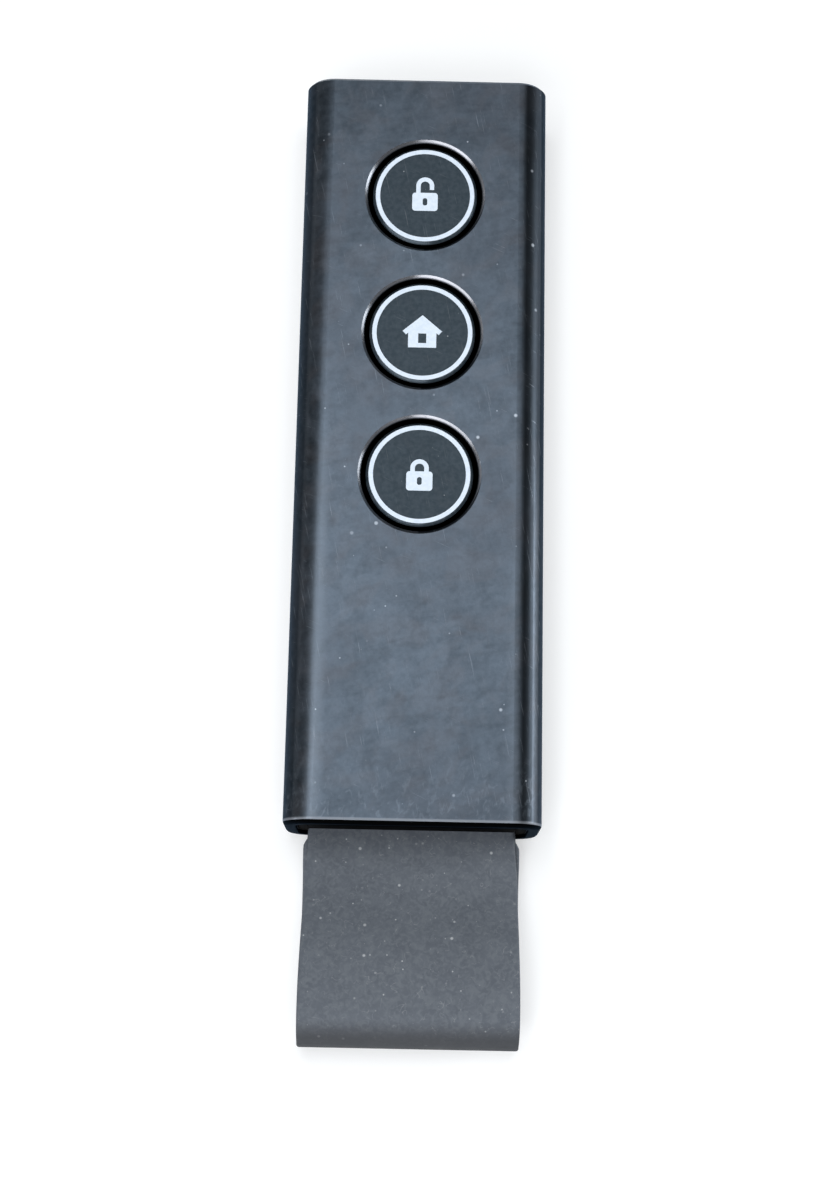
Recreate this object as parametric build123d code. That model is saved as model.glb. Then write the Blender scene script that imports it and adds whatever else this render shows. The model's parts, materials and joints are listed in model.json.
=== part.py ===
"""Alarm key fob with three buttons: an outer sleeve, and a core that its strap pulls out.

Millimetres. The fob lies on its back: X runs across it, +Y towards the closed end and
+Z out of the front. The origin is the middle of the sleeve's flat back.
"""
import os

from build123d import *

# Sleeve: one tube with rounded long edges, closed at +Y and open at the mouth, -Y
edge_radius = 3.05
wall = 1.3
closed_wall = 1.5
mouth_edge_radius = 0.6
closed_edge_chamfer = 0.35

# Button holes in the sleeve's front
button_names = ("disarm", "stay", "arm")
hole_diameter = 12.1
hole_chamfer = 0.35

# Button caps
cap_gap = 0.5
cap_recess = 0.15
cap_edge_chamfer = 0.25
flange_overlap = 0.55
flange_thickness = 0.6
lug_width = 1.6
lug_reach = 0.8
stem_diameter = 3.0
press_travel = 0.35
running_gap = 0.05

# Frame glued under the front that keeps the caps in their holes
carrier_floor = 0.45
carrier_margin = 0.9
carrier_window = 7.6
carrier_room = 1.0
pocket_gap = 0.2
pocket_wall = 1.1
bond_gap = 0.05

# Core: the tray that slides in the sleeve and carries everything else
slide_gap = 0.1
core_end_gap = 0.3
tray_floor = 1.0
tray_wall = 1.0
fit_gap = 0.1
mouth_recess = 0.35

# Circuit board on ledges in the tray
board_thickness = 0.8
board_height = 1.4
ledge_width = 0.9
board_front_margin = 7.95

# Push switches on the board, one below each cap
switch_size = 6.0
switch_height = 1.5
switch_well_diameter = 4.2
switch_well_floor = 0.4
switch_plate = 0.2
switch_plate_hole = 3.0
switch_tab_drop = 0.9
switch_tab_width = 3.0
plunger_diameter = 2.6
plunger_foot_diameter = 3.8
plunger_foot = 0.4
dome_thickness = 0.1
dome_rise = 0.6
dome_crown_length = 1.6
dome_strip_width = 1.2
dome_gap = 0.1

# Cover over the electronics, held by four clips
cover_thickness = 0.8
cover_gap = 0.1
cover_skirt = 0.8
cover_hole = 4.4
clip_length = 3.0
clip_reach = 0.4
clip_height = 0.8
clip_drop = 0.5
clip_shares = (0.16, 0.84)

# Coin cell in a round bay
cell_diameter = 20.0
cell_height = 3.2
cell_edge_chamfer = 0.4
cell_lift = 0.35
bay_gap = 0.3
bay_side_gap = 0.6
bay_rim = 2.8
bay_end_wall = 0.7
bay_board_wall = 0.9

# Contacts of the cell: bent strips, each with a foot on the board
contact_thickness = 0.25
contact_width = 4.0
contact_offset_share = 0.25
contact_reach = 9.0
contact_foot = 1.75
contact_slot_gap = 0.3
contact_board_gap = 0.75

# Clamp end: the plug, its two screws, and the bosses through the strap's tongue
clamp_length = 5.5
clamp_floor = 0.6
tongue_thickness = 1.6
boss_diameter = 3.2
boss_spacing = 10.0
boss_gap = 0.1
plug_face_height = 3.0
plug_top_gap = 0.1
plug_edge_radius = 0.3

# Screws
clamp_screw_diameter = 1.4
clamp_head_diameter = 2.6
clamp_head_height = 0.8
board_screw_diameter = 1.2
board_head_diameter = 2.4
board_head_height = 0.7
board_boss_width = 3.4
board_screw_inset = 3.0
screw_gap = 0.05
screw_grip = 1.4
drive_width = 0.4
drive_length = 1.5
drive_depth = 0.35

# Parts on the board
radio_size = 5.0
radio_height = 0.9
radio_offset = 4.2
crystal_length = 3.2
crystal_width = 2.5
crystal_height = 0.8
crystal_offset = 1.9
crystal_edge_radius = 0.4
chip_length = 1.6
chip_width = 0.8
chip_height = 0.6
chip_pitch = 2.2
chips_in_row = 3
antenna_thickness = 0.15
antenna_line = 0.5
antenna_pitch = 1.5
antenna_turns = 4
antenna_width = 13.0
antenna_inset = 1.0
antenna_gap = 0.8

# Leaf that clicks into a pocket in the sleeve's back and holds the core in
leaf_width = 3.6
leaf_thickness = 0.2
leaf_span = 6.8
leaf_foot = 1.2
leaf_inset = 2.2
leaf_window_gap = 0.3
pocket_depth = 0.5
pocket_length = 4.0
pocket_clearance = 0.1

# Strap: a flat moulded loop, its front layer rising away from the table
strap_thickness = 1.0
strap_reach = 21.5
strap_side_inset = 1.9
strap_front_trim = 0.05
strap_middle_trim = 0.22
strap_rise_run = 17.0
strap_fold_radius = 3.6
strap_table_gap = 0.05
strap_drop_start = 0.55
strap_drop_run = 6.4
strap_flare_run = 1.4
strap_middle_run = 6.0

# One length that every cutting tool runs past the face it cuts
overrun = 1.0

# Across the fob, from the cell outwards: 26 mm in all
well_width = cell_diameter + 2 * bay_side_gap
tray_width = well_width + 2 * tray_wall
inner_width = tray_width + 2 * slide_gap
body_width = inner_width + 2 * wall
board_width = well_width - 2 * fit_gap

# From the back to the front: 11 mm in all
tray_bottom = wall + slide_gap
floor_top = tray_bottom + tray_floor
board_bottom = floor_top + board_height
board_top = board_bottom + board_thickness
switch_top = board_top + switch_height
plate_top = switch_top + switch_plate
cover_bottom = plate_top + cover_gap
cover_top = cover_bottom + cover_thickness
stem_bottom = cover_top + press_travel + running_gap
plunger_top = stem_bottom - running_gap
carrier_bottom = cover_top + carrier_room
tray_top = carrier_bottom - slide_gap
pocket_floor = carrier_bottom + carrier_floor
flange_bottom = pocket_floor + press_travel + running_gap
flange_top = flange_bottom + flange_thickness
inner_front = flange_top + running_gap
body_depth = inner_front + wall
cap_top = body_depth - cap_recess
inner_radius = edge_radius - wall
cell_bottom = floor_top + cell_lift
cell_top = cell_bottom + cell_height
contact_offset = cell_diameter * contact_offset_share
clamp_top = tray_bottom + clamp_floor
tongue_top = clamp_top + tongue_thickness
plug_face_top = tongue_top + plug_face_height

# Along the fob: 80.7 mm in all, the buttons 15.5 mm apart
hole_radius = hole_diameter / 2
cap_radius = hole_radius - cap_gap
flange_radius = hole_radius + flange_overlap
button_pitch = 2 * (flange_radius + pocket_gap) + lug_reach + pocket_wall
antenna_length = (antenna_turns - 1) * antenna_pitch + antenna_line
board_inset = closed_wall + core_end_gap + tray_wall + fit_gap
antenna_end_inset = board_inset + cover_skirt + antenna_inset
first_button_inset = antenna_end_inset + antenna_length + antenna_gap + switch_size / 2
buttons_length = (len(button_names) - 1) * button_pitch
bay_length = bay_end_wall + cell_diameter + 2 * bay_gap + bay_board_wall
core_front_length = mouth_recess + clamp_length + fit_gap + bay_length + fit_gap
body_length = first_button_inset + buttons_length + board_front_margin + core_front_length
half_length = body_length / 2
mouth_y = -half_length
core_front_y = mouth_y + mouth_recess
clamp_end_y = core_front_y + clamp_length
boss_y = (core_front_y + clamp_end_y) / 2
bay_front_y = clamp_end_y + fit_gap
bay_back_y = bay_front_y + bay_length
cell_y = bay_front_y + bay_end_wall + bay_gap + cell_diameter / 2
board_front_y = bay_back_y + fit_gap
board_back_y = half_length - board_inset
well_back_y = board_back_y + fit_gap
core_back_y = well_back_y + tray_wall
cover_front_y = board_front_y + contact_board_gap + contact_foot + fit_gap
button_y = [half_length - first_button_inset - i * button_pitch for i in range(len(button_names))]
between_y = [(button_y[i] + button_y[i + 1]) / 2 for i in range(len(button_y) - 1)]
leaf_y = well_back_y - leaf_inset - leaf_span / 2

# The strap's widths
strap_width = body_width - 2 * strap_side_inset
strap_front_width = strap_width - 2 * strap_front_trim
strap_middle_width = strap_width - 2 * strap_middle_trim
strap_neck_width = well_width - 2 * fit_gap


def block(x_range, y_range, z_range):
    """A box between two values on each axis."""
    lows, highs = zip(x_range, y_range, z_range)
    size = [high - low for low, high in zip(lows, highs)]
    middle = [(low + high) / 2 for low, high in zip(lows, highs)]
    return Pos(*middle) * Box(*size)


def centred(width, x=0.0):
    """The range that a width covers about x."""
    return (x - width / 2, x + width / 2)


def post(x, y, diameter, z_low, z_high):
    """An upright round post."""
    upward = (Align.CENTER, Align.CENTER, Align.MIN)
    return Pos(x, y, z_low) * Cylinder(diameter / 2, z_high - z_low, align=upward)


def along_y(section, y_low, y_high):
    """A section drawn in X and Z, run along the fob."""
    plane = Plane(origin=(0, y_high, 0), x_dir=(1, 0, 0), z_dir=(0, -1, 0))
    return extrude(plane * section, amount=y_high - y_low)


def along_x(profile, x_low, x_high):
    """A profile drawn in Y and Z, run across the fob."""
    plane = Plane(origin=(x_low, 0, 0), x_dir=(0, 1, 0), z_dir=(1, 0, 0))
    return extrude(plane * profile, amount=x_high - x_low)


def inside_section(side_gap, z_low, z_high):
    """The sleeve's inner outline, drawn in by a gap at the sides."""
    height = z_high - z_low
    radius = min(inner_radius, height / 2 - fit_gap)
    section = RectangleRounded(inner_width - 2 * side_gap, height, radius)
    return Pos(0, (z_low + z_high) / 2) * section


def sleeve():
    """The tube that shows: flat front and back, round long edges, three holes."""
    outline = Pos(0, body_depth / 2) * RectangleRounded(body_width, body_depth, edge_radius)
    body = along_y(outline, mouth_y, half_length)
    body = fillet(body.faces().sort_by(Axis.Y)[0].edges(), mouth_edge_radius)
    body = chamfer(body.faces().sort_by(Axis.Y)[-1].edges(), closed_edge_chamfer)
    hollow = inside_section(0, wall, inner_front)
    body -= along_y(hollow, mouth_y - overrun, half_length - closed_wall)
    upward = (Align.CENTER, Align.CENTER, Align.MIN)
    for y in button_y:
        body -= post(0, y, hole_diameter, inner_front - overrun, body_depth + overrun)
        rim = Cone(hole_radius, hole_radius + 2 * hole_chamfer, 2 * hole_chamfer, align=upward)
        body -= Pos(0, y, body_depth - hole_chamfer) * rim
    pocket_y = centred(pocket_length, leaf_y)
    pocket_x = centred(leaf_width + 2 * leaf_window_gap)
    return body - block(pocket_x, pocket_y, (wall - pocket_depth, wall + overrun))


def lug(width, reach, y, z_low, z_high):
    """The key on a cap's flange, or the notch that it stands in."""
    return block(centred(width), (y, y + flange_radius + reach), (z_low, z_high))


def button_carrier():
    """A plate under the front with a stepped pocket for each cap's flange."""
    end_margin = flange_radius + lug_reach + pocket_gap + carrier_margin
    section = inside_section(bond_gap, wall, inner_front)
    plate = along_y(section, button_y[-1] - end_margin, button_y[0] + end_margin)
    y_range = (button_y[-1] - end_margin - overrun, button_y[0] + end_margin + overrun)
    plate &= block(centred(body_width), y_range, (carrier_bottom, inner_front))
    for y in button_y:
        pocket = 2 * (flange_radius + pocket_gap)
        plate -= post(0, y, pocket, pocket_floor, inner_front + overrun)
        window_z = (carrier_bottom - overrun, inner_front)
        plate -= block(centred(carrier_window), centred(carrier_window, y), window_z)
        notch_width = lug_width + 2 * pocket_gap
        plate -= lug(notch_width, lug_reach + pocket_gap, y, pocket_floor, inner_front + overrun)
    return plate


def button_cap(y):
    """A disc with a flange, a key against turning and a middle stem."""
    disc = post(0, y, 2 * cap_radius, flange_bottom, cap_top)
    disc = chamfer(disc.edges().sort_by(Axis.Z)[-1], cap_edge_chamfer)
    cap = disc + post(0, y, 2 * flange_radius, flange_bottom, flange_top)
    cap += lug(lug_width, lug_reach, y, flange_bottom, flange_top)
    return cap + post(0, y, stem_diameter, stem_bottom, flange_bottom)


def core_tray():
    """The sliding tray: ledges for the board, the cell's bay and the clamp bosses."""
    section = inside_section(slide_gap, tray_bottom, inner_front - slide_gap)
    tray = along_y(section, core_front_y, core_back_y)
    whole_y = (core_front_y - overrun, core_back_y + overrun)
    tray &= block(centred(body_width), whole_y, (tray_bottom, tray_top))
    well_y = (clamp_end_y, well_back_y)
    tray -= block(centred(well_width), well_y, (floor_top, tray_top + overrun))
    clamp_y = (core_front_y - overrun, clamp_end_y)
    tray -= block(centred(well_width), clamp_y, (clamp_top, tray_top + overrun))
    bay = block(centred(well_width), (bay_front_y, bay_back_y), (floor_top, floor_top + bay_rim))
    bay -= post(0, cell_y, cell_diameter + 2 * bay_gap, floor_top, floor_top + bay_rim + overrun)
    slot_x = centred(contact_width + 2 * contact_slot_gap, -contact_offset)
    tray += bay - block(slot_x, (cell_y, bay_back_y + overrun), (floor_top, floor_top + bay_rim))
    for side in (-1, 1):
        edge = well_width / 2
        ledge_x = sorted((side * edge, side * (edge - ledge_width)))
        tray += block(ledge_x, (board_front_y, well_back_y), (floor_top, board_bottom))
        for y in clip_places():
            window_x = sorted((side * (edge - fit_gap), side * (tray_width / 2 + overrun)))
            window_z = (clip_bottom() - fit_gap, clip_bottom() + clip_height + fit_gap)
            tray -= block(window_x, centred(clip_length + 2 * fit_gap, y), window_z)
        boss_x = side * boss_spacing / 2
        tray += post(boss_x, boss_y, boss_diameter, clamp_top, tongue_top)
        pilot = clamp_screw_diameter + 2 * screw_gap
        tray -= post(boss_x, boss_y, pilot, tongue_top - screw_grip, tongue_top + overrun)
    for x, y in board_screw_places():
        side_x = well_width / 2 * (1 if x > 0 else -1)
        boss_x = sorted((side_x, x - board_boss_width / 2 * (1 if x > 0 else -1)))
        tray += block(boss_x, centred(board_boss_width, y), (floor_top, board_bottom))
        pilot = board_screw_diameter + 2 * screw_gap
        tray -= post(x, y, pilot, board_bottom - screw_grip + screw_gap, board_bottom + overrun)
    low_wall_y = (well_back_y - overrun, core_back_y + overrun)
    tray -= block(centred(well_width), low_wall_y, (cover_top, tray_top + overrun))
    window_y = centred(leaf_span, leaf_y)
    window_x = centred(leaf_width + 2 * leaf_window_gap)
    return tray - block(window_x, window_y, (tray_bottom - overrun, floor_top + overrun))


def clip_places():
    """Where the cover's clips stand along the fob."""
    length = board_back_y - cover_front_y
    return [cover_front_y + share * length for share in clip_shares]


def clip_bottom():
    """Underside of the cover's clips."""
    return cover_bottom - clip_drop - clip_height / 2


def board_screw_places():
    """One screw on each side, between two buttons."""
    x = well_width / 2 - board_screw_inset
    return [(-x, between_y[0]), (x, between_y[1])]


def circuit_board():
    """A plain board with two screw holes and a little play all round."""
    board = block(centred(board_width), (board_front_y, board_back_y), (board_bottom, board_top))
    for x, y in board_screw_places():
        hole = board_screw_diameter + 2 * fit_gap
        board -= post(x, y, hole, board_bottom - overrun, board_top + overrun)
    return board


def core_cover():
    """A shallow lid on the board, holed for the plungers and clipped into the tray."""
    y_range = (cover_front_y, board_back_y)
    cover = block(centred(board_width), y_range, (board_top, cover_top))
    room_y = (cover_front_y - overrun, board_back_y - cover_skirt)
    cover -= block(centred(board_width - 2 * cover_skirt), room_y, (board_top, cover_bottom))
    for y in button_y:
        cover -= post(0, y, cover_hole, cover_bottom - overrun, cover_top + overrun)
    for side in (-1, 1):
        for y in clip_places():
            root_x = side * (board_width / 2 - cover_skirt)
            clip_x = sorted((root_x, side * (well_width / 2 + clip_reach)))
            clip_z = (clip_bottom(), clip_bottom() + clip_height)
            cover += block(clip_x, centred(clip_length, y), clip_z)
    return cover


def switch_base(y):
    """The moulded body of a push switch with a round well for its dome."""
    base = block(centred(switch_size), centred(switch_size, y), (board_top, switch_top))
    return base - post(0, y, switch_well_diameter, board_top + switch_well_floor, switch_top + overrun)


def switch_cover(y):
    """The switch's sheet plate with a tab folded down on each side."""
    plate = block(centred(switch_size), centred(switch_size, y), (switch_top, plate_top))
    plate -= post(0, y, switch_plate_hole, switch_top - overrun, plate_top + overrun)
    for side in (-1, 1):
        tab_x = sorted((side * switch_size / 2, side * (switch_size / 2 + switch_plate)))
        plate += block(tab_x, centred(switch_tab_width, y), (plate_top - switch_tab_drop, plate_top))
    return plate


def switch_dome(y):
    """The snap dome: two bent strips that cross under the plunger, each with a flat crown."""
    foot = board_top + switch_well_floor
    crown = foot + dome_rise
    rim = switch_well_diameter / 2 - dome_gap - dome_strip_width / 4
    flat = dome_crown_length / 2
    t = dome_thickness
    right = [(flat, crown), (rim, foot + t), (rim, foot), (rim - t, foot), (flat, crown - t)]
    left = [(-x, z) for x, z in reversed(right)]
    strip = along_y(make_face(Polyline(*right, *left, close=True)), *centred(dome_strip_width))
    return Pos(0, y) * (strip + Rot(0, 0, 90) * strip)


def switch_plunger(y):
    """The switch's round plunger with its foot under the plate."""
    foot_top = switch_top - running_gap
    foot = post(0, y, plunger_foot_diameter, foot_top - plunger_foot, foot_top)
    return foot + post(0, y, plunger_diameter, foot_top, plunger_top)


def coin_cell():
    """The cell: a plain can with its upper rim drawn in."""
    cell = post(0, cell_y, cell_diameter, cell_bottom, cell_top)
    return chamfer(cell.edges().filter_by(GeomType.CIRCLE).sort_by(Axis.Z)[-1], cell_edge_chamfer)


def contact_strip(x, z_cell, z_board, step):
    """A strip from the cell to the board: flat reach, upright leg, soldered foot."""
    t = contact_thickness
    leg_y = board_front_y + contact_board_gap
    x_range = centred(contact_width, x)
    reach_z = sorted((z_cell, z_cell + step * t))
    strip = block(x_range, (leg_y - contact_reach, leg_y), reach_z)
    strip += block(x_range, (leg_y - t, leg_y), sorted((z_cell + step * t, z_board)))
    foot_z = sorted((z_board, z_board + step * t))
    return strip + block(x_range, (leg_y - t, leg_y - t + contact_foot), foot_z)


def positive_contact():
    """Springs down on the can's top face."""
    return contact_strip(contact_offset, cell_top, board_top, 1)


def negative_contact():
    """Springs up under the cell, then rises to the board's underside."""
    return contact_strip(-contact_offset, cell_bottom, board_bottom, -1)


def radio_chip():
    """The radio's flat square package."""
    x_range = centred(radio_size, radio_offset)
    return block(x_range, centred(radio_size, between_y[0]), (board_top, board_top + radio_height))


def crystal():
    """The clock's metal can, with its upright edges rounded."""
    body = block(centred(crystal_length, -crystal_offset), centred(crystal_width, between_y[0]),
                 (board_top, board_top + crystal_height))
    return fillet(body.edges().filter_by(Axis.Z), crystal_edge_radius)


def chip_parts():
    """A row of small chips between the lower two switches."""
    chips = []
    for i in range(chips_in_row):
        x = (i - (chips_in_row - 1) / 2) * chip_pitch
        y_range = centred(chip_length, between_y[1])
        chips.append(block(centred(chip_width, x), y_range, (board_top, board_top + chip_height)))
    return chips


def antenna():
    """A flat meander beyond the last switch, one strip that turns back and forth."""
    z_range = (board_top, board_top + antenna_thickness)
    start_y = board_back_y - cover_skirt - antenna_inset - antenna_line / 2
    side_x = antenna_width / 2
    strip = None
    for i in range(antenna_turns):
        y = start_y - i * antenna_pitch
        line = block(centred(antenna_width), centred(antenna_line, y), z_range)
        strip = line if strip is None else strip + line
        if i < antenna_turns - 1:
            x = side_x - antenna_line / 2 if i % 2 else -side_x + antenna_line / 2
            link_y = (y - antenna_pitch - antenna_line / 2, y + antenna_line / 2)
            strip += block(centred(antenna_line, x), link_y, z_range)
    return strip


def screw(x, y, diameter, head_diameter, head_height, seat_z, length):
    """A pan-headed screw with a cross drive, its head on seat_z."""
    body = post(x, y, diameter, seat_z - length, seat_z)
    body += post(x, y, head_diameter, seat_z, seat_z + head_height)
    drive_z = (seat_z + head_height - drive_depth, seat_z + head_height + overrun)
    body -= block(centred(drive_length, x), centred(drive_width, y), drive_z)
    return body - block(centred(drive_width, x), centred(drive_length, y), drive_z)


def board_screws():
    """Two screws that hold the board on its bosses."""
    length = board_thickness + screw_grip - 2 * screw_gap
    return [screw(x, y, board_screw_diameter, board_head_diameter, board_head_height, board_top, length)
            for x, y in board_screw_places()]


def clamp_screws():
    """Two screws that draw the plug down on the strap's tongue."""
    length = plug_face_height + screw_grip - 2 * screw_gap
    return [screw(side * boss_spacing / 2, boss_y, clamp_screw_diameter, clamp_head_diameter,
                  clamp_head_height, plug_face_top, length) for side in (-1, 1)]


def end_plug():
    """The plug in the mouth: a low front with the screws, stepped up behind their heads."""
    high_top = tray_top - plug_top_gap
    step_y = boss_y + clamp_head_diameter / 2 + fit_gap
    low = [(clamp_end_y, tongue_top), (core_front_y, tongue_top), (core_front_y, plug_face_top)]
    high = [(step_y, plug_face_top), (step_y, high_top), (clamp_end_y, high_top)]
    plug = along_x(make_face(Polyline(*low, *high, close=True)), *centred(well_width - 2 * fit_gap))
    front_edges = plug.edges().filter_by(Axis.X).group_by(Axis.Y)[0]
    plug = fillet(front_edges.sort_by(Axis.Z)[-1], plug_edge_radius)
    hole = clamp_screw_diameter + 2 * screw_gap
    for side in (-1, 1):
        plug -= post(side * boss_spacing / 2, boss_y, hole, tongue_top - overrun, plug_face_top + overrun)
    return plug


def detent_spring():
    """A bent leaf: two feet on the tray's floor, its belly down in the sleeve's pocket."""
    belly = floor_top - (wall - pocket_depth + pocket_clearance)
    y_low, y_high = centred(leaf_span - 2 * leaf_thickness, leaf_y)
    top = floor_top + leaf_thickness
    lower = ThreePointArc((y_low, floor_top), (leaf_y, floor_top - belly), (y_high, floor_top))
    upper_ends = [(y_low + leaf_thickness, top), (y_high - leaf_thickness, top)]
    upper = ThreePointArc(upper_ends[0], (leaf_y, top - belly), upper_ends[1])
    with BuildLine() as outline:
        add(lower)
        Polyline(lower @ 1, (y_high + leaf_foot, floor_top), (y_high + leaf_foot, top), upper @ 1)
        add(upper)
        Polyline(upper @ 0, (y_low - leaf_foot, top), (y_low - leaf_foot, floor_top), lower @ 0)
    return along_x(make_face(outline.line), *centred(leaf_width))


def s_bend(start, run, rise):
    """Two equal arcs, tangent to each other and level at both ends, as (y, z) curves."""
    y, z = start
    middle = (y + run / 2, z + rise / 2)
    end = (y + run, z + rise)
    first = TangentArc(start, middle, tangent=(run, 0))
    second = TangentArc(end, middle, tangent=(-run, 0))
    return first, second, end


def strap_layer(path, width):
    """A flat band of the strap's thickness, swept along its middle line."""
    upright = Plane(origin=(0, 0, 0), x_dir=(0, 1, 0), z_dir=(1, 0, 0))
    line = upright * path
    start = Plane(origin=line @ 0, x_dir=(1, 0, 0), z_dir=line % 0)
    return sweep(start * Rectangle(width, strap_thickness), path=line)


def strap():
    """The loop: a tongue under the plug, a raised front layer, a fold, a layer on the table."""
    half = strap_thickness / 2
    tongue_end_y = clamp_end_y - fit_gap
    fold_y = mouth_y - strap_reach + strap_fold_radius
    fold_z = strap_table_gap + strap_fold_radius
    fold_half = strap_fold_radius - half
    rise_y = fold_y + strap_rise_run
    front_z = tongue_top - half
    first, second, _ = s_bend((rise_y, front_z), -strap_rise_run, fold_z + fold_half - front_z)
    with BuildLine() as front_path:
        Line((tongue_end_y, front_z), (rise_y, front_z))
        add(first)
        add(second)
        tip = (fold_y - fold_half, fold_z)
        ThreePointArc((fold_y, fold_z + fold_half), tip, (fold_y, fold_z - fold_half))
    back_z = clamp_top + half
    drop_y = mouth_y - strap_drop_start
    low, lower, low_end = s_bend((drop_y, back_z), -strap_drop_run, strap_table_gap + half - back_z)
    with BuildLine() as back_path:
        Line((tongue_end_y, back_z), (drop_y, back_z))
        add(low)
        add(lower)
        Line(low_end, (fold_y, strap_table_gap + half))
    front_plan = strap_plan(strap_middle_width, strap_middle_run, strap_front_width)
    back_plan = strap_plan(strap_width, strap_flare_run, strap_width)
    front = strap_layer(front_path.wire(), strap_width) & front_plan
    loop = front + (strap_layer(back_path.wire(), strap_width) & back_plan)
    for side in (-1, 1):
        hole = boss_diameter + 2 * boss_gap
        loop -= post(side * boss_spacing / 2, boss_y, hole, tray_bottom, tongue_top + overrun)
    return loop


def strap_plan(middle_width, middle_run, end_width):
    """A block as wide as the neck inside the mouth and wider outside it, seen from the front."""
    neck = strap_neck_width / 2
    middle = middle_width / 2
    wide = end_width / 2
    middle_y = mouth_y - middle_run
    end_y = mouth_y - strap_reach
    right = [(neck, clamp_end_y), (neck, mouth_y), (middle, middle_y), (wide, end_y)]
    left = [(-x, y) for x, y in reversed(right)]
    return extrude(make_face(Polyline(*right, *left, close=True)), amount=body_depth)


def write(name, shape):
    """Write one node; a list of solids becomes one group."""
    if isinstance(shape, list):
        shape = Compound(children=shape)
    shape.label = name
    export_step(shape, os.path.join("parts", name + ".step"))


def main():
    """Build every node and write it."""
    os.makedirs("parts", exist_ok=True)
    for maker in (sleeve, button_carrier, core_tray, core_cover, circuit_board, coin_cell,
                  positive_contact, negative_contact, radio_chip, crystal, chip_parts, antenna,
                  board_screws, end_plug, clamp_screws, detent_spring, strap):
        write(maker.__name__, maker())
    for name, y in zip(button_names, button_y):
        write(name + "_button_cap", button_cap(y))
        for maker in (switch_base, switch_cover, switch_dome, switch_plunger):
            write(name + "_" + maker.__name__, maker(y))


main()
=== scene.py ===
"""Looks of an alarm key fob: satin dark sleeve, printed button marks, a soft grey strap loop."""
import json
import math
from functools import reduce

import bmesh
import bpy
from mathutils import Euler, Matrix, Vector


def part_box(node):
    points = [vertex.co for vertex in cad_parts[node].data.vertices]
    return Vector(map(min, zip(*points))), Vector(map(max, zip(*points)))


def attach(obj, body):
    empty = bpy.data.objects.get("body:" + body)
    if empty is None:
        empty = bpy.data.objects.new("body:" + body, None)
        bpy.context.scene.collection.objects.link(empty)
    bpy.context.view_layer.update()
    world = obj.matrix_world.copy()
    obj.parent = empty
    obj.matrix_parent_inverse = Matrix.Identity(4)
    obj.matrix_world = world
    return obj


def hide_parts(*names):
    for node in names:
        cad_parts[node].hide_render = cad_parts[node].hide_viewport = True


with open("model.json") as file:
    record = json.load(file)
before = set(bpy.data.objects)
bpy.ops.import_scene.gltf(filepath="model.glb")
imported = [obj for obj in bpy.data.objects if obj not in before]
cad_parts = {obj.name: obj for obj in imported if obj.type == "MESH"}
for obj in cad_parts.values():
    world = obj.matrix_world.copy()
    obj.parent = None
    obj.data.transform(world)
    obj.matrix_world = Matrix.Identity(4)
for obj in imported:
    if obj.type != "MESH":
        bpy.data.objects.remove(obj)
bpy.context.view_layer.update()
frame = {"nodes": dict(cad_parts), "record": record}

MM = 0.001
BUTTONS = ("disarm", "stay", "arm")

# Camera, from the photograph: 838 by 1185 pixels, focal length in pixels of its long side
IMAGE_HEIGHT = 1185
FOCAL_PIXELS = 2011.4
SENSOR = 36.0
CAMERA_PLACE = (-1.14, -64.37, 209.49)
CAMERA_TURN = (13.50, -0.376, 1.241)
CLIP_START = 0.01

# Lamps, in metres: each one's name, place, width, height, radiance and colour
COOL = (0.93, 0.97, 1.0)
PALE = (0.96, 0.97, 1.0)
LAMPS = (
    ("overhead", (0.03, 0.14, 0.60), 0.28, 0.33, 4.15, COOL),
    ("left", (-0.15, 0.03, 0.58), 0.44, 0.06, 11.5, COOL),
    ("front", (-0.05, -0.34, 0.50), 0.42, 0.15, 4.5, COOL),
    ("window", (-0.31, -0.48, 0.25), 1.00, 0.19, 4.4, PALE),
    ("front_right", (0.41, -0.40, 0.16), 0.62, 0.09, 1.3, PALE),
    ("right", (0.58, 0.10, 0.13), 0.26, 0.19, 13.0, COOL),
)
LAMP_TARGET = (0.0, -0.005, 0.008)
WORLD_COLOUR = (0.95, 0.98, 1.0, 1)
WORLD_LEVEL = 0.15

# Floor and the wall round it, in metres, and their two tones
FLOOR_SIZE = 3.0
FLOOR_DROP = 0.00002
WALL_HEIGHT = 0.2
FLOOR_DARK = (0.56, 0.56, 0.56)
FLOOR_PALE = (0.60, 0.60, 0.60)

# Glow of the floor near the fob, and how far out, in millimetres, it starts to grow and is full
FLOOR_GLOW = 0.45
GLOW_START = 250.0
GLOW_FULL = 900.0

# Strap, as in the CAD model
STRAP_THICKNESS = 1.0
STRAP_EDGE = 0.28
STRAP_SIDE_INSET = 1.9
STRAP_RISE_RUN = 17.0
STRAP_DROP_RUN = 6.4
STRAP_DROP_START = 0.55
TONGUE_THICKNESS = 1.6
CLAMP_FLOOR = 0.6
NECK_WIDTH = 21.0
NECK_RUN = 0.6
MIDDLE_WIDTH = 21.76
MIDDLE_RUN = 6.0
FRONT_WIDTH = 22.1
FRONT_RUN = 17.0
FLARE_RUN = 1.4

# How soon after the mouth the band has its full thickness, and the least flat between its rounded edges
THICKEN_RUN = 2.5
EDGE_FLAT = 0.02

# Steps along the strap's rise, fold, flat and drop, and round its section
RISE_STEPS = 14
FOLD_STEPS = 28
FLAT_STEPS = 6
DROP_STEPS = 10
ACROSS_STEPS = 18
ROUND_STEPS = 4

# Printing on the caps
RING_OUTER = 5.25
RING_INNER = 4.79
PRINT_HEIGHT = 0.03
FIGURE_SCALE = 1.18
CORNER_STEPS = 6

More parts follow.
